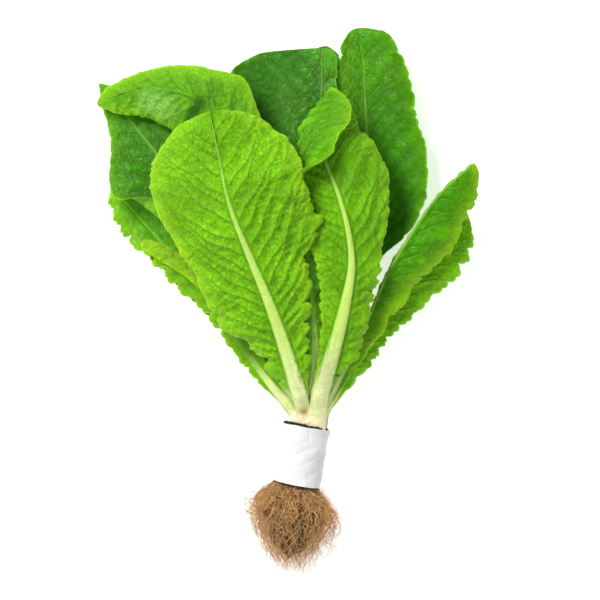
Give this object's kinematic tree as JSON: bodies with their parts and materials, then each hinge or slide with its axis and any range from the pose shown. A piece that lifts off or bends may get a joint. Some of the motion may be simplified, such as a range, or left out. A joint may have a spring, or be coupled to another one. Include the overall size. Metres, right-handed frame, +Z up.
{
  "type": "romaine lettuce head",
  "caption": "Head of romaine lettuce lying on its side: long crinkled leaves with pale ribs, a short pale crown, a paper-wrapped growing plug and a tuft of roots.",
  "frame": {"origin": "on the surface it lies on, under the centre of its box", "axes": "+Y from the roots to the leaf tips, +X to the right seen from above, +Z up from the surface"},
  "size_m": [0.268, 0.384, 0.0914],
  "materials": {
    "leaf_light": "satin, light green leaf underside",
    "leaf_mid": "satin, mid green leaf",
    "leaf_dark": "glossy, dark green leaf",
    "crown": "smooth, cream",
    "peat": "matt, dark brown",
    "paper": "matt, white",
    "roots": "matt, tan and brown fibres"
  },
  "bodies": {
    "root": {"crown": "crown", "growing_plug": "peat", "paper_sleeve": "paper", "root_mass": "roots", "leaf_rear_middle": "leaf_dark", "leaf_rear_left": "leaf_dark", "leaf_rear_right": "leaf_dark", "leaf_right_tall": "leaf_dark", "leaf_back_middle": "leaf_dark", "leaf_left_lower": "leaf_dark", "leaf_left_outer": "leaf_mid", "leaf_right_outer": "leaf_mid", "leaf_left_middle": "leaf_dark", "leaf_heart_back": "leaf_mid", "leaf_right_folded": "leaf_mid", "leaf_left_upper": "leaf_mid", "leaf_heart_front": "leaf_dark", "leaf_front_middle": "leaf_light", "leaf_front_left": "leaf_light"}
  },
  "joints": []
}
